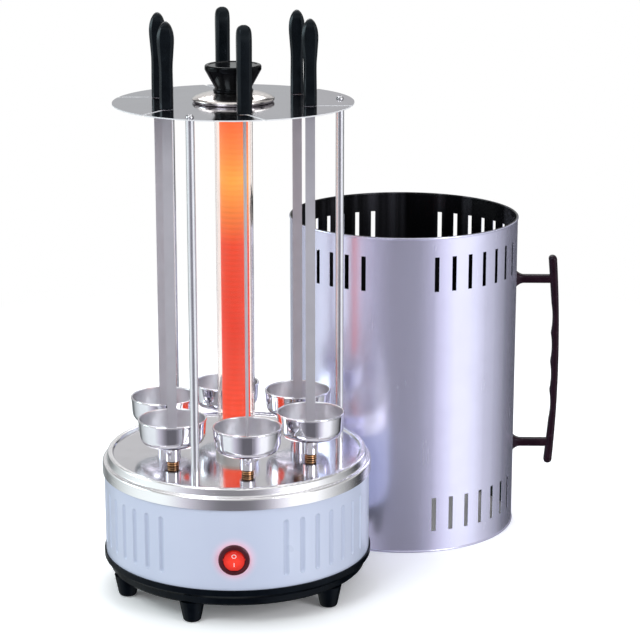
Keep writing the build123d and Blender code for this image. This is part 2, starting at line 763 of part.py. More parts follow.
def casing_handle_section(face):
    # rounds the grip's long edges, seen from above
    depth = grip_thickness + grip_bow + 2 * grip_wave_depth
    block = Pos(face - depth / 2, 0, grip_bottom) * extrude(
        RectangleRounded(depth, grip_width, grip_round), grip_top - grip_bottom)
    return block


def make_casing_screws():
    screw = make_screw(casing_screw_radius, casing_screw_length + casing_sheet, casing_screw_head_radius,
                       casing_screw_head_height)
    # the flat head's rim rests on the round wall
    inside = ((casing_radius - casing_sheet) ** 2 - casing_screw_head_radius ** 2) ** 0.5 - running_gap
    return apart(at(0, handle_angle, level) * Pos(inside, 0, 0) * Rot(0, -90, 0) * screw
                 for level in arm_heights)


# ---- the whole grill ----
def make_parts():
    post_screw = make_screw(spigot_radius, post_screw_length, post_screw_head_radius, post_screw_head_height)
    cover_screw = Rot(180, 0, 0) * make_screw(cover_screw_radius, cover_screw_length,
                                              cover_screw_head_radius, cover_screw_head_height)
    parts = {
        "feet": apart(at(foot_circle, angle) * make_foot() for angle in foot_angles),
        "bottom_cover": make_bottom_cover(),
        "bottom_screws": apart(at(pillar_circle, angle, cover_level) * cover_screw for angle in post_angles),
        "base_shell": make_base_shell(),
        "drip_tray": make_drip_tray(),
        "support_posts": apart(at(post_circle, angle) * make_post() for angle in post_angles),
        "standoffs": make_standoffs(),
        "top_disc": make_top_disc(),
        "post_screws": apart(at(post_circle, angle, disc_level) * post_screw for angle in post_angles),
        "centre_collar": make_centre_collar(),
        "top_knob": make_knob(),
        "knob_stud": rod(stud_radius, disc_underside - stud_grip, collar_level + stud_rise),
        "heater_base": make_heater_base(),
        "heater_glass": tube(glass_radius, glass_radius - glass_wall, glass_bottom, glass_top),
        "heater_core": tube(core_radius, core_bore_radius, core_bottom, core_top),
        "heater_coil": make_heater_coil(),
        "heater_top_holder": make_heater_top_holder(),
        "mechanism_plate": make_mechanism_plate(),
        "spindle": make_spindle(),
        "sun_gear": make_sun_gear(),
        "motor_pinion": at(pinion_circle, pinion_angle) * make_motor_pinion(),
        "geared_motor": at(pinion_circle, pinion_angle) * make_geared_motor(),
        "bushes": make_bushes(),
        "switch_housing": at(0, 0, switch_height) * make_switch_housing(),
        "switch_rocker": at(0, 0, switch_height) * make_switch_rocker(),
        "mains_gland": at(0, 180, gland_height) * make_mains_gland(),
        "terminal_block": at(terminal_circle, terminal_angle) * make_terminal_block(),
    }
    station = {"drive_gear": make_station_gear(), "drive_shaft": make_shaft(), "cup": make_cup(),
               "skewer_blade": make_blade(), "skewer_handle": make_handle()}
    for number, (angle, turn) in enumerate(zip(station_angles, skewer_turns), start=1):
        for name, piece in station.items():
            own_turn = Rot(0, 0, 0 if name == "drive_gear" else turn)
            parts[f"{name}_{number}"] = at(station_circle, angle) * own_turn * piece
    casing = {"casing_shell": make_casing_shell(), "casing_handle": make_casing_handle(),
              "casing_screws": make_casing_screws()}
    for name, piece in casing.items():
        parts[name] = Pos(casing_x, casing_y, 0) * piece
    return parts


def export_parts(parts):
    os.makedirs("parts", exist_ok=True)
    box = Compound(children=[solid for piece in parts.values() for solid in piece.solids()]).bounding_box()
    middle = box.center()
    print("base axis at", round(-middle.X, 3), round(-middle.Y, 3), "floor at", round(-box.min.Z, 3))
    for name, piece in parts.items():
        export_step(Pos(-middle.X, -middle.Y, -box.min.Z) * piece, f"parts/{name}.step")


export_parts(make_parts())
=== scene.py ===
# Electric skewer grill: finishes, small details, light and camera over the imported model.
import math

import bmesh
import bpy
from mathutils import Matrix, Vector


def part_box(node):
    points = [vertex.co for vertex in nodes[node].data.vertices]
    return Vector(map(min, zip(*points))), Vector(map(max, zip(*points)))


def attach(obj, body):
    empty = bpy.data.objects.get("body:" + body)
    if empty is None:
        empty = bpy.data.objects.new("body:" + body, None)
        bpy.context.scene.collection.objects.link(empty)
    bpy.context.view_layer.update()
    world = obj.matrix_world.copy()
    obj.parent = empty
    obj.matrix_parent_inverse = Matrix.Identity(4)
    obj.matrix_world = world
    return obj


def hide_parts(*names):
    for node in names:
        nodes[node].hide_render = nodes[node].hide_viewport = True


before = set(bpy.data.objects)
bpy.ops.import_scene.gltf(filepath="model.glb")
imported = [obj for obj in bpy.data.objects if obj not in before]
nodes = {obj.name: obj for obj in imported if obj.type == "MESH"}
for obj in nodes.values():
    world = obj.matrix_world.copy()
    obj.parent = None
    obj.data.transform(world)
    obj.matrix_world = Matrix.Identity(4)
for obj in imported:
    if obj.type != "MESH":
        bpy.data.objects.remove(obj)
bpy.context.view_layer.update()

print("grill: frame loaded,", len(nodes), "nodes")

# the axes that finishes and details are counted from, in metres
baseAxis = Vector((-0.089797, -0.075456, 0.0))
casingAxis = baseAxis + Vector((0.150, 0.164, 0.0))
fromAxisToSwitch = Vector((0.0, -0.1129, 0.0604))
switchCentre = baseAxis + fromAxisToSwitch

# six turning stations on a circle; each skewer stands turned about itself by its own degrees
stationCount = 6
stationStep = 360 / stationCount
stationCircle = 0.0675
firstStation = math.radians(9)
skewerTurns = (0, 21, -39, 0, 21, -39)
stations = [str(number + 1) for number in range(stationCount)]


def stationPlace(number):
    turn = firstStation + math.radians(stationStep) * number
    return baseAxis + stationCircle * Vector((math.sin(turn), -math.cos(turn), 0))


def perStation(name):
    return [name + "_" + key for key in stations]


def put(tree, kind, inputs=None, **settings):
    # a new node; each input is a plain value or a socket to link from
    node = tree.nodes.new("ShaderNode" + kind)
    for key, value in settings.items():
        setattr(node, key, value)
    for key, value in (inputs or {}).items():
        if isinstance(value, bpy.types.NodeSocket):
            tree.links.new(value, node.inputs[key])
        else:
            node.inputs[key].default_value = value
    return node


def calc(tree, operation, *values):
    return put(tree, "Math", dict(enumerate(values)), operation=operation).outputs[0]


def upPart(tree, vector):
    # the share along Z: a point's height, or how far a normal looks up
    return put(tree, "SeparateXYZ", {0: vector}).outputs[2]


def startFinish(name, constants):
    # one Principled shader; what is the same all over goes on its own sockets
    material = bpy.data.materials.new(name)
    material.use_nodes = True
    tree = material.node_tree
    shader = tree.nodes["Principled BSDF"]
    for socket, value in constants.items():
        shader.inputs[socket].default_value = value
    return material, tree, shader


def feed(tree, shader, socket, value):
    tree.links.new(value, shader.inputs[socket])


def modelPoint(tree, origin=None, stretch=(1, 1, 1)):
    # the point in metres, counted from an axis where one is given
    point = put(tree, "TexCoord").outputs["Object"]
    if origin is not None:
        point = put(tree, "VectorMath", {0: point, 1: origin}, operation="SUBTRACT").outputs[0]
    return put(tree, "Mapping", {"Vector": point, "Scale": stretch}).outputs[0]


def noise(tree, point, scale, detail=2.0, roughness=0.5):
    return put(tree, "TexNoise", {"Vector": point, "Scale": scale, "Detail": detail,
                                  "Roughness": roughness}).outputs["Fac"]


def smearNoise(tree, point, scale):
    return noise(tree, point, scale, detail=3, roughness=0.6)


def spread(tree, value, low, high, start=0.3, end=0.7):
    # carries start..end of a pattern over to low..high
    return put(tree, "MapRange", {"Value": value, "From Min": start, "From Max": end,
                                  "To Min": low, "To Max": high}).outputs[0]


def blendColours(tree, share, first, second):
    mix = put(tree, "Mix", data_type="RGBA")
    tree.links.new(share, mix.inputs[0])
    for index, value in ((6, first), (7, second)):
        if isinstance(value, bpy.types.NodeSocket):
            tree.links.new(value, mix.inputs[index])
        else:
            mix.inputs[index].default_value = (*value, 1)
    return mix.outputs[2]


def smeared(tree, smears, colour, dim):
    # a colour with smears that are darker by the share "dim"
    return blendColours(tree, spread(tree, smears, 0, 1), colour, tuple(part * dim for part in colour))


def colourRamp(tree, value, marks):
    # a ramp through (place, colour) pairs
    ramp = put(tree, "ValToRGB", {0: value})
    stops = ramp.color_ramp.elements
    for index, (place, colour) in enumerate(marks):
        stop = stops[index] if index < 2 else stops.new(place)
        stop.position = place
        stop.color = (*colour, 1)
    return ramp.outputs[0]


def anyRay(tree, *kinds):
    # 1 where the ray is of one of these kinds
    path = put(tree, "LightPath").outputs
    found = path[kinds[0]]
    for kind in kinds[1:]:
        found = calc(tree, "MAXIMUM", found, path[kind])
    return found


def bump(tree, shader, height, strength, distance, socket="Normal"):
    node = put(tree, "Bump", {"Height": height, "Strength": strength, "Distance": distance})
    feed(tree, shader, socket, node.outputs[0])


def radius(tree, point):
    flat = put(tree, "VectorMath", {0: point, 1: (1, 1, 0)}, operation="MULTIPLY").outputs[0]
    return put(tree, "VectorMath", {0: flat}, operation="LENGTH").outputs["Value"]


def spinLines(tree, point, perMetre):
    # fine rings, as a lathe or a polishing wheel leaves them
    across = calc(tree, "ADD", radius(tree, point), upPart(tree, point))
    rings = put(tree, "TexNoise", {"W": across, "Scale": perMetre, "Detail": 3.0}, noise_dimensions="1D")
    return rings.outputs["Fac"]


print("grill: finishes")

# what all polished steel pieces share
polish = {
    "smears": 45,            # per metre
    "smearDim": 0.94,
    "smearRoughness": 0.03,
    "lineDepth": 0.0002,     # metres
    "steep": 0.5,            # upward part of a normal, below which a face counts as upright
}


def fineRough(tree, lines, smears, low, high):
    dull = spread(tree, smears, 0, polish["smearRoughness"])
    return calc(tree, "ADD", spread(tree, lines, low, high), dull)


spunSteel = {
    "drip_tray": dict(colour=(0.80, 0.79, 0.83), skirt=(0.96, 0.95, 0.97), roughness=(0.06, 0.12),
                      satin=0.1062, satinRoughness=0.13, lines=2600, depth=0.02),
    "centre_collar": dict(colour=(0.80, 0.75, 0.73), skirt=(0.80, 0.75, 0.73), roughness=(0.13, 0.20),
                          satin=0.2, satinRoughness=0.0, lines=1800, depth=0.01),
}
satinEdge = 0.0005           # metres over which the satin sets in


def spunSteelFinish(name, values, axis):
    # mirror-like inside the radius "satin", paler and duller beyond it
    material, tree, shader = startFinish(name, {"Metallic": 1.0})
    point = modelPoint(tree, axis)
    lines = spinLines(tree, point, values["lines"])
    smears = smearNoise(tree, point, polish["smears"])
    steel = smeared(tree, smears, values["colour"], polish["smearDim"])
    beyond = spread(tree, radius(tree, point), 0, 1, values["satin"] - satinEdge, values["satin"] + satinEdge)
    feed(tree, shader, "Base Color", blendColours(tree, beyond, steel, values["skirt"]))
    rough = fineRough(tree, lines, smears, *values["roughness"])
    dull = calc(tree, "MULTIPLY", beyond, values["satinRoughness"])
    feed(tree, shader, "Roughness", calc(tree, "ADD", rough, dull))
    bump(tree, shader, lines, values["depth"], polish["lineDepth"])
    return material


discValues = {
    "colour": (0.36, 0.35, 0.40),
    "roughness": (0.05, 0.11),
    "edge": (0.70, 0.70, 0.72),
    "edgeRoughness": 0.4,
    "lines": 2600,
    "depth": 0.01,
}


def discFinish():
    # polished faces; the sheared edges of rim, holes and slots are bright and dull
    material, tree, shader = startFinish("discSteel", {})
    point = modelPoint(tree, baseAxis)
    lines = spinLines(tree, point, discValues["lines"])
    smears = smearNoise(tree, point, polish["smears"])
    upward = calc(tree, "ABSOLUTE", upPart(tree, put(tree, "TexCoord").outputs["Normal"]))
    edge = calc(tree, "LESS_THAN", upward, polish["steep"])
    steel = smeared(tree, smears, discValues["colour"], polish["smearDim"])
    feed(tree, shader, "Base Color", blendColours(tree, edge, steel, discValues["edge"]))
    feed(tree, shader, "Metallic", spread(tree, edge, 1, 0, 0, 1))
    dull = calc(tree, "MULTIPLY", edge, discValues["edgeRoughness"])
    rough = fineRough(tree, lines, smears, *discValues["roughness"])
    feed(tree, shader, "Roughness", calc(tree, "ADD", rough, dull))
    bump(tree, shader, lines, discValues["depth"], polish["lineDepth"])
    return material


cupValues = {
    "outside": (0.82, 0.81, 0.86),
    "inside": (0.80, 0.79, 0.82),
    "roughness": (0.05, 0.10),
    "insideRoughness": 0.22,
    "floorRadius": 0.0264,
    "inward": -0.002,        # a wall's normal times its place, below which it faces the axis
    "smears": 70,
    "smear": (0.93, 0.93, 0.94),
    "lines": 1500,
    "depth": 0.01,
}


def cupFinish(name, axis):
    # bright drawn steel outside, satin where the wall or floor faces the cup's own axis
    material, tree, shader = startFinish(name, {"Metallic": 1.0})
    point = modelPoint(tree, axis)
    facing = put(tree, "TexCoord").outputs["Normal"]
    flat = put(tree, "VectorMath", {0: point, 1: (1, 1, 0)}, operation="MULTIPLY").outputs[0]
    away = put(tree, "VectorMath", {0: flat, 1: facing}, operation="DOT_PRODUCT").outputs["Value"]
    inWall = calc(tree, "LESS_THAN", away, cupValues["inward"])
    level = calc(tree, "GREATER_THAN", upPart(tree, facing), polish["steep"])
    within = calc(tree, "LESS_THAN", radius(tree, point), cupValues["floorRadius"])
    inside = calc(tree, "MAXIMUM", inWall, calc(tree, "MULTIPLY", level, within))
    lines = spinLines(tree, point, cupValues["lines"])
    smears = smearNoise(tree, point, cupValues["smears"])
    steel = blendColours(tree, inside, cupValues["outside"], cupValues["inside"])
    smear = blendColours(tree, spread(tree, smears, 0, 1), (1.0, 1.0, 1.0), cupValues["smear"])
    colour = put(tree, "VectorMath", {0: steel, 1: smear}, operation="MULTIPLY").outputs[0]
    feed(tree, shader, "Base Color", colour)
    dull = calc(tree, "MULTIPLY", inside, cupValues["insideRoughness"])
    rough = fineRough(tree, lines, smears, *cupValues["roughness"])
    feed(tree, shader, "Roughness", calc(tree, "ADD", rough, dull))
    bump(tree, shader, lines, cupValues["depth"], polish["lineDepth"])
    return material


casingValues = {
    "outside": (0.78, 0.77, 0.98),
    "metal": 0.76,
    "inside": (0.006, 0.006, 0.008),
    "insideMetal": 0.7,
    "paintedSlotReflection": (0.10, 0.10, 0.12),
    "wall": 0.1036,          # radius between the outer and the inner face
    "rim": 0.2884,           # height over which the crest counts as inside; the dark colour there is a painted dark reflection
    "rimStep": 0.0006,
    "roughness": (0.21, 0.25),
    "grain": (900, 900, 30),  # patterns per metre along X, Y and Z
    "reflectionStreaks": (60, 60, 2),
    "streakRange": (0.5, 0.75),
    "waves": (9, 9, 5),
    "wave": 0.03,
    "waveDepth": 0.004,
    "smears": 30,
    "smearDim": 0.95,
}


def casingFinish():
    # satin sheet outside, dark inside with lighter streaks that are painted reflections of the slots; the
    # sheet is slightly wavy
    material, tree, shader = startFinish("casingSheet", {})
    point = modelPoint(tree, casingAxis)
    height = upPart(tree, point)
    # painted dark reflection: above this height the rim's crest takes the dark inside colour instead of
    # mirroring the light above it
    crest = calc(tree, "GREATER_THAN", height, casingValues["rim"])
    wall = calc(tree, "MULTIPLY_ADD", crest, casingValues["rimStep"], casingValues["wall"])
    outer = calc(tree, "GREATER_THAN", radius(tree, point), wall)
    grain = noise(tree, modelPoint(tree, casingAxis, casingValues["grain"]), 1.0, 3)
    smears = smearNoise(tree, point, casingValues["smears"])
    steel = smeared(tree, smears, casingValues["outside"], casingValues["smearDim"])
    # painted reflection: lighter vertical streaks on the dark inner face stand in for the slots mirrored
    # there
    reflectionStreaks = noise(tree, modelPoint(tree, casingAxis, casingValues["reflectionStreaks"]), 1.0, 2)
    dark = blendColours(tree, spread(tree, reflectionStreaks, 0, 1, *casingValues["streakRange"]),
                        casingValues["inside"], casingValues["paintedSlotReflection"])
    feed(tree, shader, "Base Color", blendColours(tree, outer, dark, steel))
    metal = spread(tree, outer, casingValues["insideMetal"], casingValues["metal"], 0, 1)
    feed(tree, shader, "Metallic", metal)
    feed(tree, shader, "Roughness", fineRough(tree, grain, smears, *casingValues["roughness"]))
    waves = noise(tree, modelPoint(tree, casingAxis, casingValues["waves"]), 1.0, 1)
    bump(tree, shader, waves, casingValues["wave"], casingValues["waveDepth"])
    return material


rodSteel = {
    "posts": dict(colour=(0.80, 0.80, 0.84), roughness=(0.20, 0.27), metal=0.9),
    "screws": dict(colour=(0.62, 0.62, 0.65), roughness=(0.18, 0.32), metal=1.0),
    "blades": dict(colour=(0.62, 0.60, 0.65), roughness=(0.30, 0.38), metal=0.45),
    "motor": dict(colour=(0.55, 0.56, 0.58), roughness=(0.30, 0.45), metal=1.0),
}
rodPattern = {"grain": (2200, 2200, 40), "depth": 0.02, "smears": 60, "smearDim": 0.93}
fineDepth = 0.0001           # metres, for grain, pores and scratches


def rodSteelFinish(name, values):
    # drawn steel: long fine lines along the height
    material, tree, shader = startFinish(name, {"Metallic": values["metal"]})
    grain = noise(tree, modelPoint(tree, None, rodPattern["grain"]), 1.0, 2)
    smears = noise(tree, modelPoint(tree), rodPattern["smears"], 2)
    feed(tree, shader, "Base Color", smeared(tree, smears, values["colour"], rodPattern["smearDim"]))
    feed(tree, shader, "Roughness", spread(tree, grain, *values["roughness"]))
    bump(tree, shader, grain, rodPattern["depth"], fineDepth)
    return material


bronzeValues = {
    "bright": (0.80, 0.47, 0.24),
    "dull": (0.46, 0.25, 0.12),
    "groove": (0.05, 0.025, 0.02),
    "roughness": (0.22, 0.4),
    "seat": 0.118,           # height of the tray's floor, with the grooves counted from it
    "grooves": ((0.0, 0.0007), (0.0014, 0.0024), (0.0033, 0.0046)),
    "pores": 900,
    "poreDepth": 0.1,
}


def bronzeFinish():
    # pores all over, tarnish at the seat and in the two turned grooves
    material, tree, shader = startFinish("bushBronze", {"Metallic": 1.0})
    point = modelPoint(tree, (0, 0, bronzeValues["seat"]))
    pores = noise(tree, point, bronzeValues["pores"], 3)
    height = upPart(tree, point)
    tarnish = None
    for low, high in bronzeValues["grooves"]:
        middle, half = (low + high) / 2, (high - low) / 2
        band = calc(tree, "COMPARE", height, middle, half)
        tarnish = band if tarnish is None else calc(tree, "MAXIMUM", tarnish, band)
    metal = blendColours(tree, spread(tree, pores, 0, 1), bronzeValues["dull"], bronzeValues["bright"])
    feed(tree, shader, "Base Color", blendColours(tree, tarnish, metal, bronzeValues["groove"]))
    feed(tree, shader, "Roughness", spread(tree, pores, *bronzeValues["roughness"]))
    bump(tree, shader, pores, bronzeValues["poreDepth"], fineDepth)
    return material


paintValues = {
    "colour": (0.57, 0.62, 0.76),
    "shade": (0.54, 0.59, 0.74),
    "flute": (0.48, 0.53, 0.68),
    "wall": 0.1134,          # radius of the plain wall; a flute's floor lies "sunk" further in
    "sunk": 0.0012,
    "roughness": (0.26, 0.34),
    "coat": 0.35,
    "coatRoughness": 0.08,
    "paintedGlow": (0.0125, 0.021),  # how far the painted red glow, which stands in for the lit switch's light on the wall, reaches round its bezel
    "paintedGlowColour": (1.0, 0.16, 0.20, 1),
    "paintedGlowStrength": 0.48,
    "paintedGlowFade": 2.0,
    "clouds": 20,
    "peel": 700,
    "peelStrength": 0.05,
    "peelDepth": 0.0002,
}


def paintFinish():
    # stove enamel with a trace of orange peel; greyer down in the flutes as painted shade
    material, tree, shader = startFinish("shellPaint", {
        "Coat Weight": paintValues["coat"], "Coat Roughness": paintValues["coatRoughness"],
        "Emission Color": paintValues["paintedGlowColour"]})
    point = modelPoint(tree, baseAxis)
    clouds = noise(tree, point, paintValues["clouds"], 2)
    peel = noise(tree, point, paintValues["peel"], 2)
    paint = blendColours(tree, spread(tree, clouds, 0, 1), paintValues["colour"], paintValues["shade"])
    # painted shade: the deeper a point lies in a flute, the more the darker flute colour takes over
    deep = spread(tree, radius(tree, point), 1, 0, paintValues["wall"] - paintValues["sunk"],
                  paintValues["wall"])
    feed(tree, shader, "Base Color", blendColours(tree, deep, paint, paintValues["flute"]))
    feed(tree, shader, "Roughness", spread(tree, clouds, *paintValues["roughness"]))
    # painted glow: emission on the paint near the switch stands in for the red light of its lamp falling on
    # the wall
    away = put(tree, "VectorMath", {0: point, 1: fromAxisToSwitch}, operation="DISTANCE").outputs["Value"]
    paintedGlow = calc(tree, "POWER", spread(tree, away, 1, 0, *paintValues["paintedGlow"]), paintValues["paintedGlowFade"])
    feed(tree, shader, "Emission Strength", calc(tree, "MULTIPLY", paintedGlow, paintValues["paintedGlowStrength"]))
    bump(tree, shader, peel, paintValues["peelStrength"], paintValues["peelDepth"])
    return material


plastics = {
    "baseBlack": dict(colour=(0.002, 0.003, 0.005), worn=(0.004, 0.006, 0.009), roughness=(0.16, 0.24),
                      grain=0.02, gloss=0.05),
    "knobBlack": dict(colour=(0.002, 0.002, 0.002), worn=(0.005, 0.005, 0.006), roughness=(0.08, 0.13),
                      grain=0.01, gloss=0.09),
    "gripBlack": dict(colour=(0.002, 0.003, 0.004), worn=(0.004, 0.006, 0.008), roughness=(0.20, 0.27),
                      grain=0.03, gloss=0.24),
    "gripBrown": dict(colour=(0.012, 0.003, 0.007), worn=(0.020, 0.006, 0.012), roughness=(0.20, 0.30),
                      grain=0.03, gloss=0.16),
    "bezelBlack": dict(colour=(0.060, 0.010, 0.014), worn=(0.085, 0.018, 0.024), roughness=(0.10, 0.18),
                       grain=0.01, gloss=0.3),
    "gearWhite": dict(colour=(0.80, 0.79, 0.74), worn=(0.74, 0.73, 0.68), roughness=(0.35, 0.5),
                      grain=0.03, gloss=0.5),
    "holderCeramic": dict(colour=(0.80, 0.78, 0.72), worn=(0.72, 0.69, 0.62), roughness=(0.18, 0.35),
                          grain=0.02, gloss=0.5),
}
plasticSheen = (0.78, 0.88, 1.0, 1)
plasticPattern = {"clouds": 90, "grain": 2600}


def plasticFinish(name, values):
    material, tree, shader = startFinish(name, {"Specular IOR Level": values["gloss"],
                                                "Specular Tint": plasticSheen})
    point = modelPoint(tree)
    clouds = smearNoise(tree, point, plasticPattern["clouds"])
    grain = noise(tree, point, plasticPattern["grain"], 2)
    feed(tree, shader, "Base Color",
         blendColours(tree, spread(tree, clouds, 0, 1), values["colour"], values["worn"]))
    feed(tree, shader, "Roughness", spread(tree, clouds, *values["roughness"]))
    bump(tree, shader, grain, values["grain"], fineDepth)
    return material


glassValues = {"tint": (1.0, 0.92, 0.88, 1), "roughness": (0.02, 0.06), "index": 1.22, "haze": 60}


def glassFinish():
    material, tree, shader = startFinish("heaterTube", {
        "Base Color": glassValues["tint"], "IOR": glassValues["index"], "Transmission Weight": 1.0})
    haze = noise(tree, modelPoint(tree), glassValues["haze"], 2)
    feed(tree, shader, "Roughness", spread(tree, haze, *glassValues["roughness"]))
    return material


glowValues = {
    "cold": (0.10, 0.02, 0.01, 1),
    "roughness": 0.6,
    "heights": ((0.13, (0.88, 0.09, 0.040)), (0.17, (0.82, 0.06, 0.028)), (0.23, (0.70, 0.024, 0.006)),
                (0.30, (0.76, 0.045, 0.010)), (0.355, (0.94, 0.40, 0.06)), (0.385, (0.96, 0.24, 0.05)),
                (0.41, (0.97, 0.12, 0.03))),
    "strength": 1.0,
    "turns": 0.0045,         # spacing of the winding's turns, which show faintly
    "ripple": 0.05,
    "patches": 35,
    "patchShare": (0.94, 1.06),
}


def glowFinish():
    # the column glows redder in its middle and yellower towards the top
    material, tree, shader = startFinish("heaterGlow", {
        "Base Color": glowValues["cold"], "Roughness": glowValues["roughness"],
        "Emission Strength": glowValues["strength"]})
    point = modelPoint(tree, baseAxis)
    patches = noise(tree, point, glowValues["patches"], 2)
    height = upPart(tree, point)
    heights = glowValues["heights"]
    low, high = heights[0][0], heights[-1][0]
    glow = colourRamp(tree, spread(tree, height, 0, 1, low, high),
                      [((level - low) / (high - low), colour) for level, colour in heights])
    turns = calc(tree, "SINE", calc(tree, "MULTIPLY", height, 2 * math.pi / glowValues["turns"]))
    share = calc(tree, "MULTIPLY_ADD", turns, glowValues["ripple"],
                 spread(tree, patches, *glowValues["patchShare"]))
    colour = put(tree, "VectorMath", {0: glow, 1: share}, operation="MULTIPLY").outputs[0]
    feed(tree, shader, "Emission Color", colour)
    return material


rockerValues = {
    "edge": (0.38, 0.010, 0.008),
    "lit": (0.84, 0.040, 0.020),
    "strength": 0.50,
    "reach": (0.003, 0.0125),  # from the middle out to the dark edge
    "roughness": 0.22,
    "coat": 0.3,
    "coatRoughness": 0.05,
    "haze": 400,
    "hazeShift": 0.002,
}


def rockerFinish():
    # translucent red plastic, brightest over the lamp behind its middle
    material, tree, shader = startFinish("rockerRed", {
        "Roughness": rockerValues["roughness"], "Emission Strength": rockerValues["strength"],
        "Coat Weight": rockerValues["coat"], "Coat Roughness": rockerValues["coatRoughness"]})
    point = modelPoint(tree, switchCentre)
    away = put(tree, "VectorMath", {0: point}, operation="LENGTH").outputs["Value"]
    haze = noise(tree, point, rockerValues["haze"], 2)
    reach = calc(tree, "MULTIPLY_ADD", haze, rockerValues["hazeShift"], away)
    share = spread(tree, reach, 1, 0, *rockerValues["reach"])
    colour = blendColours(tree, share, rockerValues["edge"], rockerValues["lit"])
    feed(tree, shader, "Base Color", colour)
    feed(tree, shader, "Emission Color", colour)
    return material


markValues = {
    "glow": (0.95, 0.80, 0.80, 1),
    "strength": 0.15,
    "roughness": 0.35,
    "clean": (0.90, 0.86, 0.86),
    "worn": (0.80, 0.74, 0.74),
    "haze": 900,
}


def markFinish():
    material, tree, shader = startFinish("markWhite", {
        "Roughness": markValues["roughness"], "Emission Strength": markValues["strength"],
        "Emission Color": markValues["glow"]})
    haze = noise(tree, modelPoint(tree), markValues["haze"], 2)
    feed(tree, shader, "Base Color", blendColours(tree, haze, markValues["clean"], markValues["worn"]))
    return material


def dress(material, *names):
    for name in names:
        mesh = nodes[name].data
        mesh.materials.clear()
        mesh.materials.append(material)


collarChrome = spunSteelFinish("collarChrome", spunSteel["centre_collar"], baseAxis)
knobBlack = plasticFinish("knobBlack", plastics["knobBlack"])
gripBlack = plasticFinish("gripBlack", plastics["gripBlack"])
gripBrown = plasticFinish("gripBrown", plastics["gripBrown"])
markWhite = markFinish()
dress(spunSteelFinish("traySteel", spunSteel["drip_tray"], baseAxis), "drip_tray")
dress(discFinish(), "top_disc")
dress(collarChrome, "centre_collar")
for number, key in enumerate(stations):
    dress(cupFinish("cupSteel" + key, stationPlace(number)), "cup_" + key)
dress(casingFinish(), "casing_shell")
dress(rodSteelFinish("postSteel", rodSteel["posts"]), "support_posts")
dress(rodSteelFinish("screwSteel", rodSteel["screws"]), "bottom_screws", "post_screws", "casing_screws",
      "standoffs", "knob_stud", "mechanism_plate", "spindle", *perStation("drive_shaft"))
dress(rodSteelFinish("bladeSteel", rodSteel["blades"]), *perStation("skewer_blade"))
dress(rodSteelFinish("motorZinc", rodSteel["motor"]), "geared_motor")
dress(bronzeFinish(), "bushes")
dress(paintFinish(), "base_shell")
dress(plasticFinish("baseBlack", plastics["baseBlack"]), "bottom_cover", "feet", "mains_gland")
dress(knobBlack, "top_knob")
dress(gripBlack, *perStation("skewer_handle"))
dress(gripBrown, "casing_handle")
dress(plasticFinish("bezelBlack", plastics["bezelBlack"]), "switch_housing")
dress(plasticFinish("gearWhite", plastics["gearWhite"]), "sun_gear", "motor_pinion", "terminal_block",
      *perStation("drive_gear"))
dress(plasticFinish("holderCeramic", plastics["holderCeramic"]), "heater_base", "heater_top_holder",
      "heater_core")
dress(glassFinish(), "heater_glass")
dress(glowFinish(), "heater_coil")
dress(rockerFinish(), "switch_rocker")


# smooth pieces that stand for turned and moulded nodes
def finishPiece(name, mesh, material, body, sharp=40.0, node=None):
    # turns a bmesh into a piece: smooth faces, sharp only past the given angle
    bmesh.ops.recalc_face_normals(mesh, faces=mesh.faces)
    data = bpy.data.meshes.new(name)
    mesh.to_mesh(data)
    mesh.free()
    data.shade_smooth()
    data.set_sharp_from_angle(angle=math.radians(sharp))
    data.materials.append(material)
    piece = bpy.data.objects.new(name, data)
    bpy.context.scene.collection.objects.link(piece)
    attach(piece, body)
    if node:
        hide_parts(node)
    return piece


def skin(mesh, rings):
    # joins closed rings of points into a tube, with a cap at either end
    loops = [[mesh.verts.new(point) for point in ring] for ring in rings]
    for lower, upper in zip(loops, loops[1:]):
        for index in range(len(lower)):
            after = (index + 1) % len(lower)
            mesh.faces.new((lower[index], lower[after], upper[after], upper[index]))
    mesh.faces.new(loops[0])
    mesh.faces.new(loops[-1])


def roundedOutline(corners, steps=8):
    # corners are (radius, height, rounding) in mm; each rounding becomes an arc
    outline = []
    for index, (x, y, rounding) in enumerate(corners):
        if not rounding:
            outline.append((x, y))
            continue
        here = Vector((x, y))
        before = (Vector(corners[index - 1][:2]) - here).normalized()
        after = (Vector(corners[index + 1][:2]) - here).normalized()
        half = before.angle(after) / 2
        centre = here + (before + after).normalized() * (rounding / math.sin(half))
        start = here + before * (rounding / math.tan(half)) - centre
        sweep = start.angle_signed(here + after * (rounding / math.tan(half)) - centre)
        for step in range(steps + 1):
            turn = -sweep * step / steps
            outline.append((centre.x + start.x * math.cos(turn) - start.y * math.sin(turn),
                            centre.y + start.x * math.sin(turn) + start.y * math.cos(turn)))
    return outline


def lathe(outline, level, sides=144):
    # spins an outline of (radius, height) in mm round the base's axis
    mesh = bmesh.new()
    turns = [2 * math.pi * side / sides for side in range(sides)]
    rings = []
    for reach, height in outline:
        rings.append([baseAxis + Vector((reach * math.sin(turn), -reach * math.cos(turn), height)) / 1000
                      + Vector((0, 0, level)) for turn in turns])
    skin(mesh, rings)
    return mesh


print("grill: collar and knob")
collarSizes = {              # mm; "widest" is the height of the greatest radius
    "radius": 34.0, "widest": 2.6, "bulge": 2.2, "top": 14.0, "height": 8.4, "bore": 3.4,
    "swell": 1.5, "edgeSteps": 8, "domeSteps": 24,
}


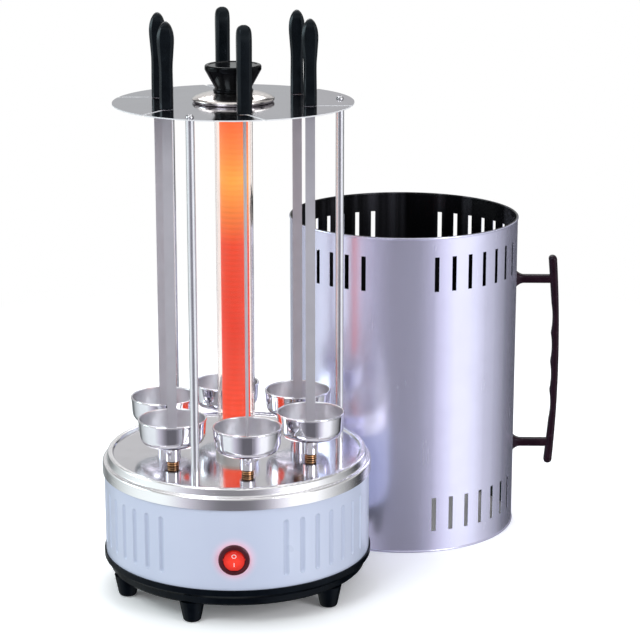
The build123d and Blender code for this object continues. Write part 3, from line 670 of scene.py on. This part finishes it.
def collarOutline():
    # round lower edge, then a shallow dome up to the knob's seat
    rim, widest, swell = collarSizes["radius"], collarSizes["widest"], collarSizes["swell"]
    outline = [(collarSizes["bore"], 0.0)]
    for step in range(collarSizes["edgeSteps"] + 1):
        turn = math.pi / 2 * step / collarSizes["edgeSteps"]
        outline.append((rim - collarSizes["bulge"] * (1 - math.sin(turn)), widest * (1 - math.cos(turn))))
    for step in range(1, collarSizes["domeSteps"] + 1):
        turn = math.pi / 2 * step / collarSizes["domeSteps"]
        outline.append((collarSizes["top"] + (rim - collarSizes["top"]) * math.cos(turn) ** (2 / swell),
                        widest + (collarSizes["height"] - widest) * math.sin(turn) ** (2 / swell)))
    outline.append((collarSizes["bore"], collarSizes["height"]))
    return outline


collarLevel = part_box("centre_collar")[0][2]
finishPiece("collarDome", lathe(collarOutline(), collarLevel), collarChrome, "base",
            sharp=50, node="centre_collar")

knobCorners = (              # radius, height and rounding in mm
    (3.1, 0.0, 0), (16.6, 0.0, 0.3), (16.6, 1.2, 0.4), (15.0, 2.6, 0.9), (23.4, 17.8, 2.2), (23.4, 22.0, 1.8),
    (20.2, 22.0, 0.3), (19.6, 21.4, 0.4), (1.0, 21.4, 0),
)
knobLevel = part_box("top_knob")[0][2]
finishPiece("knobBody", lathe(roundedOutline(knobCorners), knobLevel), knobBlack, "knob_body",
            sharp=60, node="top_knob")

print("grill: skewer handles")
handleShape = (              # share of the length, width and thickness in mm
    (0.0, 10.9, 11.6), (0.18, 10.9, 11.8), (0.47, 10.6, 11.8), (0.62, 12.0, 11.8), (0.78, 13.5, 11.8),
    (0.86, 12.7, 11.8), (0.915, 10.6, 11.5), (0.95, 8.4, 10.6), (0.975, 6.0, 8.8), (0.99, 3.8, 6.2),
    (1.0, 1.9, 3.2),
)
handleValues = {
    "sections": 40,
    "faceBevel": 0.185,      # shares of width and thickness that the long bevels take
    "sideBevel": 0.21,
    "soften": 0.7,           # mm
    "softSteps": 3,
    "softAngle": 25,
}


def handleSize(share):
    # width and thickness at a share of the length, eased from one listed section to the next
    for index in range(len(handleShape) - 1):
        if share <= handleShape[index + 1][0]:
            break
    before, start, end, after = [handleShape[min(max(index + shift, 0), len(handleShape) - 1)]
                                 for shift in (-1, 0, 1, 2)]
    span = end[0] - start[0]
    along = (share - start[0]) / span
    sizes = []
    for column in (1, 2):
        slopeIn = (end[column] - before[column]) / (end[0] - before[0]) * span
        slopeOut = (after[column] - start[column]) / (after[0] - start[0]) * span
        cube, square = along ** 3, along ** 2
        sizes.append((2 * cube - 3 * square + 1) * start[column] + (cube - 2 * square + along) * slopeIn
                     + (3 * square - 2 * cube) * end[column] + (cube - square) * slopeOut)
    return sizes


def handleMesh(place, turn, bottom, top):
    # eight-sided sections; a bevel modifier then softens the long edges
    mesh = bmesh.new()
    across = Vector((math.cos(turn), math.sin(turn), 0)) / 1000
    deep = Vector((-math.sin(turn), math.cos(turn), 0)) / 1000
    rings = []
    for number in range(handleValues["sections"] + 1):
        # sections crowd together towards the pointed end
        share = math.sin(math.pi / 2 * number / handleValues["sections"])
        width, depth = handleSize(share)
        flat = width * (0.5 - handleValues["faceBevel"])
        side = depth * (0.5 - handleValues["sideBevel"])
        corners = ((flat, depth / 2), (-flat, depth / 2), (-width / 2, side), (-width / 2, -side),
                   (-flat, -depth / 2), (flat, -depth / 2), (width / 2, -side), (width / 2, side))
        level = Vector((0, 0, bottom + share * (top - bottom)))
        rings.append([place + level + across * x + deep * y for x, y in corners])
    skin(mesh, rings)
    return mesh


for number, key in enumerate(stations):
    low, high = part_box("skewer_handle_" + key)
    turn = firstStation + math.radians(stationStep * number + skewerTurns[number] - 90)
    mesh = handleMesh(stationPlace(number), turn, low[2], high[2])
    grip = finishPiece("skewerGrip" + key, mesh, gripBlack, "skewer_" + key,
                       sharp=80, node="skewer_handle_" + key)
    edge = grip.modifiers.new("softEdges", "BEVEL")
    edge.width = handleValues["soften"] / 1000
    edge.segments = handleValues["softSteps"]
    edge.limit_method = "ANGLE"
    edge.angle_limit = math.radians(handleValues["softAngle"])

print("grill: casing handle")
casingGrip = {
    "turn": -2.0,            # degrees, from the X axis
    "wall": 103.98,          # mm from the casing's axis
    "face": 144.6,           # outer face at its middle
    "bow": 4.0,
    "thickness": 7.6,
    "width": 11.0,
    "ends": (53.0, 252.0),
    "fingers": (96.0, 206.0, 4, 1.3),  # first and last height, count and depth of the finger dents
    "arms": (73.0, 230.0),
    "arm": (7.6, 8.6),       # height and width
    "flare": (3.0, 7.0),     # growth at the wall, and over which length
    "round": 3.4,
    "armRound": 0.75,        # share of "round"
    "endFace": 0.2,          # keeps the end faces from closing to a line
    "fullest": 0.95,         # largest rounding as a share of half a section's side
    "sections": 120,
    "armSections": 24,
}


def gripPoint(out, across, up):
    # mm on the handle, counted from the casing's axis, to metres in the frame
    turn = math.radians(casingGrip["turn"])
    return casingAxis + Vector((out * math.cos(turn) - across * math.sin(turn),
                                out * math.sin(turn) + across * math.cos(turn), up)) / 1000


def softBox(halfHigh, halfWide, rounding, steps=5):
    # a rounded rectangle round zero
    rounding = min(rounding, casingGrip["fullest"] * min(halfHigh, halfWide))
    points = []
    for quarter, (x, y) in enumerate(((1, 1), (-1, 1), (-1, -1), (1, -1))):
        for step in range(steps + 1):
            turn = math.pi / 2 * (quarter + step / steps)
            points.append((x * (halfHigh - rounding) + rounding * math.cos(turn),
                           y * (halfWide - rounding) + rounding * math.sin(turn)))
    return points


def gripFaces(up):
    # outer and inner face of the grip at a height
    low, high = casingGrip["ends"]
    away = (up - (low + high) / 2) / ((high - low) / 2)
    outer = casingGrip["face"] - casingGrip["bow"] * away ** 2
    first, last, fingers, depth = casingGrip["fingers"]
    inner = casingGrip["face"] - casingGrip["thickness"]
    if first < up < last:
        share = (up - first) / (last - first) * fingers % 1
        return outer, inner + depth * 4 * share * (1 - share)
    past = (up - last) / (high - last) if up >= last else (first - up) / (first - low)
    return outer, inner - casingGrip["bow"] * past


def casingGripMesh():
    mesh = bmesh.new()
    low, high = casingGrip["ends"]
    rounding = casingGrip["round"]
    rings = []
    count = casingGrip["sections"]
    for number in range(count + 1):
        up = low + (high - low) * (1 - math.cos(math.pi * number / count)) / 2
        near = max(0.0, rounding - min(up - low, high - up))
        inset = rounding - math.sqrt(max(rounding ** 2 - near ** 2, casingGrip["endFace"] ** 2))
        outer, inner = gripFaces(up)
        section = softBox((outer - inner) / 2 - inset, casingGrip["width"] / 2 - inset, rounding)
        rings.append([gripPoint((outer + inner) / 2 + x, y, up) for x, y in section])
    skin(mesh, rings)
    high, wide = casingGrip["arm"]
    rise, run = casingGrip["flare"]
    start, end = casingGrip["wall"], casingGrip["face"] - casingGrip["thickness"] / 2
    count = casingGrip["armSections"]
    for level in casingGrip["arms"]:
        rings = []
        for number in range(count + 1):
            out = start + (end - start) * number / count
            swell = rise * max(0.0, 1 - (out - start) / run) ** 2
            section = softBox(high / 2 + swell, wide / 2 + swell / 2, rounding * casingGrip["armRound"])
            rings.append([gripPoint(out, y, level + x) for x, y in section])
        skin(mesh, rings)
    return mesh


finishPiece("casingGrip", casingGripMesh(), gripBrown, "casing", sharp=50,
            node="casing_handle")

# a ring above and a bar below, raised on the rocker; all in mm but for the tilt
print("grill: switch marks")
markSizes = {
    "tilt": 8.0,             # degrees, lower half pressed in
    "face": 2.7,             # before the hinge at the middle
    "horn": 1.2,             # how much further the ends stand out
    "half": 9.0,             # from the middle to an end
    "ring": (4.6, 1.7, 0.26),  # height, radius and half width of the line
    "bar": (-3.3, 0.26, 1.7),  # height, half width and half length
    "raise": 0.15,
    "layers": ((1.0, -0.05), (1.0, 0.6), (0.8, 1.0)),  # width and height shares, rounded over at the top
    "ringSteps": 40,
    "barSteps": 8,
}


def rockerPlace(across, up, out):
    # mm on the rocker's face to metres in the frame
    lift = markSizes["face"] + markSizes["horn"] * abs(up) / markSizes["half"] + out
    tilt = math.radians(markSizes["tilt"])
    forward = lift * math.cos(tilt) + up * math.sin(tilt)
    rise = -lift * math.sin(tilt) + up * math.cos(tilt)
    return switchCentre + Vector((across, -forward, rise)) / 1000


def raisedMark(name, outline, closedRing):
    # a flat mark with rounded-over sides, built on the rocker's face
    mesh = bmesh.new()
    rings = []
    for share, level in markSizes["layers"]:
        lift = level * markSizes["raise"]
        rings.append([[mesh.verts.new(rockerPlace(*point, lift)) for point in outline(share, side)]
                      for side in ((0, 1) if closedRing else (0,))])
    for lower, upper in zip(rings, rings[1:]):
        for low, high in zip(lower, upper):
            for index in range(len(low)):
                after = (index + 1) % len(low)
                mesh.faces.new((low[index], low[after], high[after], high[index]))
    for layer in (rings[0], rings[-1]):
        if closedRing:
            inner, outer = layer
            for index in range(len(inner)):
                after = (index + 1) % len(inner)
                mesh.faces.new((inner[index], inner[after], outer[after], outer[index]))
        else:
            mesh.faces.new(layer[0])
    finishPiece(name, mesh, markWhite, "switch_rocker_body", sharp=50)


def ringOutline(share, side):
    height, middle, half = markSizes["ring"]
    reach = middle + (half if side else -half) * share
    turns = [2 * math.pi * step / markSizes["ringSteps"] for step in range(markSizes["ringSteps"])]
    return [(reach * math.cos(turn), height + reach * math.sin(turn)) for turn in turns]


def barOutline(share, side):
    height, half, long = markSizes["bar"]
    half, long = half * share, long - half * (1 - share)
    corners = []
    steps = markSizes["barSteps"]
    for end in (1, -1):
        for step in range(steps + 1):
            turn = math.pi * (step / steps if end > 0 else 1 + step / steps)
            corners.append((half * math.cos(turn), height + end * (long - half) + half * math.sin(turn)))
    return corners


raisedMark("rockerMarkRing", ringOutline, True)
raisedMark("rockerMarkBar", barOutline, False)

print("grill: studio")
floorValues = {
    "size": 8.0,
    "colour": (0.82, 0.82, 0.83),
    "shown": (1.25, 1.25, 1.26),  # what the camera sees of the same paper
    "lift": 0.06,            # glow that keeps the seen paper white where little light falls
    "near": 0.45,            # from here out to "far" it fades to plain white
    "far": 1.0,
}
white = (1, 1, 1, 1)


def makeFloor():
    mesh = bmesh.new()
    bmesh.ops.create_grid(mesh, x_segments=4, y_segments=4, size=floorValues["size"] / 2)
    data = bpy.data.meshes.new("studioFloor")
    mesh.to_mesh(data)
    mesh.free()
    floor = bpy.data.objects.new("studioFloor", data)
    bpy.context.scene.collection.objects.link(floor)
    material = bpy.data.materials.new("floorWhite")
    material.use_nodes = True
    tree = material.node_tree
    tree.nodes.clear()
    point = put(tree, "TexCoord").outputs["Object"]
    reach = put(tree, "VectorMath", {0: point}, operation="LENGTH").outputs["Value"]
    fade = spread(tree, reach, 0, 1, floorValues["near"], floorValues["far"])
    seen = anyRay(tree, "Is Camera Ray", "Is Transmission Ray", "Is Glossy Ray")
    paper = put(tree, "BsdfDiffuse", {"Color": (*floorValues["colour"], 1)}).outputs[0]
    lift = put(tree, "Emission", {"Color": white, "Strength": floorValues["lift"]}).outputs[0]
    bright = put(tree, "BsdfDiffuse", {"Color": (*floorValues["shown"], 1)}).outputs[0]
    near = put(tree, "AddShader", {0: bright, 1: lift}).outputs[0]
    plain = put(tree, "Emission", {"Color": white, "Strength": 1.0}).outputs[0]
    shown = put(tree, "MixShader", {0: fade, 1: near, 2: plain}).outputs[0]
    both = put(tree, "MixShader", {0: seen, 1: paper, 2: shown}).outputs[0]
    out = put(tree, "OutputMaterial")
    tree.links.new(both, out.inputs[0])
    data.materials.append(material)
    floor.visible_glossy = False


makeFloor()

worldValues = {
    "fill": (0.60, 0.61, 0.63),
    "strength": 1.1,
    # what metal mirrors at each bearing: 0 is the front, positive to the right, in degrees
    "ring": (
        (-180, 0.50), (-160, 0.40), (-147, 0.14), (-136, 0.22), (-126, 0.50), (-106, 0.78),
        (-92, 0.92), (-62, 0.98), (-44, 0.68), (-27, 0.34), (-14, 0.16), (14, 0.16), (26, 0.36),
        (38, 0.84), (50, 1.10), (72, 1.08), (86, 0.66), (102, 0.42), (116, 0.22), (124, 0.05),
        (131, 0.0), (156, 0.0), (168, 0.10), (180, 0.50),
    ),
    "left": (0.93, 1.0, 1.0),
    "leftEnd": -50,
    "middle": (0.90, 0.88, 1.0),
    "rightStart": 45,
    "right": (0.96, 0.98, 1.0),
    # higher up, the brightness goes by height alone
    "heights": ((0.0, 0.70), (0.25, 0.70), (0.42, 0.34), (0.72, 0.36), (0.86, 0.92), (1.0, 0.90)),
    "higher": (0.05, 0.22),  # where the ring gives way to that
}


def bearingColour(degrees, level):
    side = "middle"
    if degrees < worldValues["leftEnd"]:
        side = "left"
    elif degrees > worldValues["rightStart"]:
        side = "right"
    return tuple(level * part for part in worldValues[side])


def makeWorld():
    world = bpy.data.worlds.new("studioWorld")
    bpy.context.scene.world = world
    world.use_nodes = True
    tree = world.node_tree
    tree.nodes.clear()
    way = put(tree, "TexCoord").outputs["Generated"]
    x, y, z = put(tree, "SeparateXYZ", {0: way}).outputs
    bearing = calc(tree, "ARCTAN2", x, calc(tree, "MULTIPLY", y, -1.0))
    ring = colourRamp(tree, spread(tree, bearing, 0.0, 1.0, -math.pi, math.pi),
                      [(degrees / 360 + 0.5, bearingColour(degrees, level))
                       for degrees, level in worldValues["ring"]])
    dome = colourRamp(tree, z, [(height, (level, level, level)) for height, level in worldValues["heights"]])
    studio = blendColours(tree, spread(tree, z, 0, 1, *worldValues["higher"]), ring, dome)
    clear = anyRay(tree, "Is Camera Ray", "Is Transmission Ray")
    fill = put(tree, "Background", {"Color": (*worldValues["fill"], 1), "Strength": 1.0}).outputs[0]
    mirrored = put(tree, "Background", {"Color": studio, "Strength": worldValues["strength"]}).outputs[0]
    plain = put(tree, "Background", {"Color": white, "Strength": 1.0}).outputs[0]
    gloss = put(tree, "MixShader", {0: anyRay(tree, "Is Glossy Ray"), 1: fill, 2: mirrored}).outputs[0]
    both = put(tree, "MixShader", {0: clear, 1: gloss, 2: plain}).outputs[0]
    out = put(tree, "OutputWorld")
    tree.links.new(both, out.inputs[0])


makeWorld()

lamps = {
    "keyLamp": dict(place=(-1.2, -1.5, 1.9), aim=(-0.02, 0, 0.2), size=(0.9, 0.9), power=17,
                    colour=(0.92, 0.99, 1.0)),
    "leftLamp": dict(place=(-2.2, 0.1, 0.8), aim=(-0.1, 0, 0.1), size=(0.8, 1.0), power=9,
                     colour=(0.82, 1.0, 1.0)),
    "rightLamp": dict(place=(1.5, -1.5, 0.9), aim=(0, 0, 0.1), size=(0.8, 1.0), power=17,
                      colour=(0.97, 0.98, 1.0)),
    "backLamp": dict(place=(-0.2, 1.7, 1.9), aim=(0, 0, 0.1), size=(1.4, 1.0), power=18,
                     colour=(1.0, 1.0, 1.0)),
}
for name, values in lamps.items():
    light = bpy.data.lights.new(name, "AREA")
    light.shape = "RECTANGLE"
    light.size, light.size_y = values["size"]
    light.energy = values["power"]
    light.color = values["colour"]
    lamp = bpy.data.objects.new(name, light)
    lamp.location = values["place"]
    lamp.rotation_euler = (Vector(values["aim"]) - lamp.location).to_track_quat("-Z", "Y").to_euler()
    bpy.context.scene.collection.objects.link(lamp)

cameraValues = {"place": (-0.040985, -1.821656, 0.6832), "tilt": 0.2526, "pan": 0.0129, "lens": 120.0}
camera = bpy.data.objects.new("photoCamera", bpy.data.cameras.new("photoCamera"))
camera.data.lens = cameraValues["lens"]
camera.data.sensor_width = 36.0
camera.location = cameraValues["place"]
camera.rotation_euler = (math.pi / 2 - cameraValues["tilt"], 0, -cameraValues["pan"])
bpy.context.scene.collection.objects.link(camera)
bpy.context.scene.camera = camera
bpy.context.scene.view_settings.view_transform = "Standard"

print("grill: done")
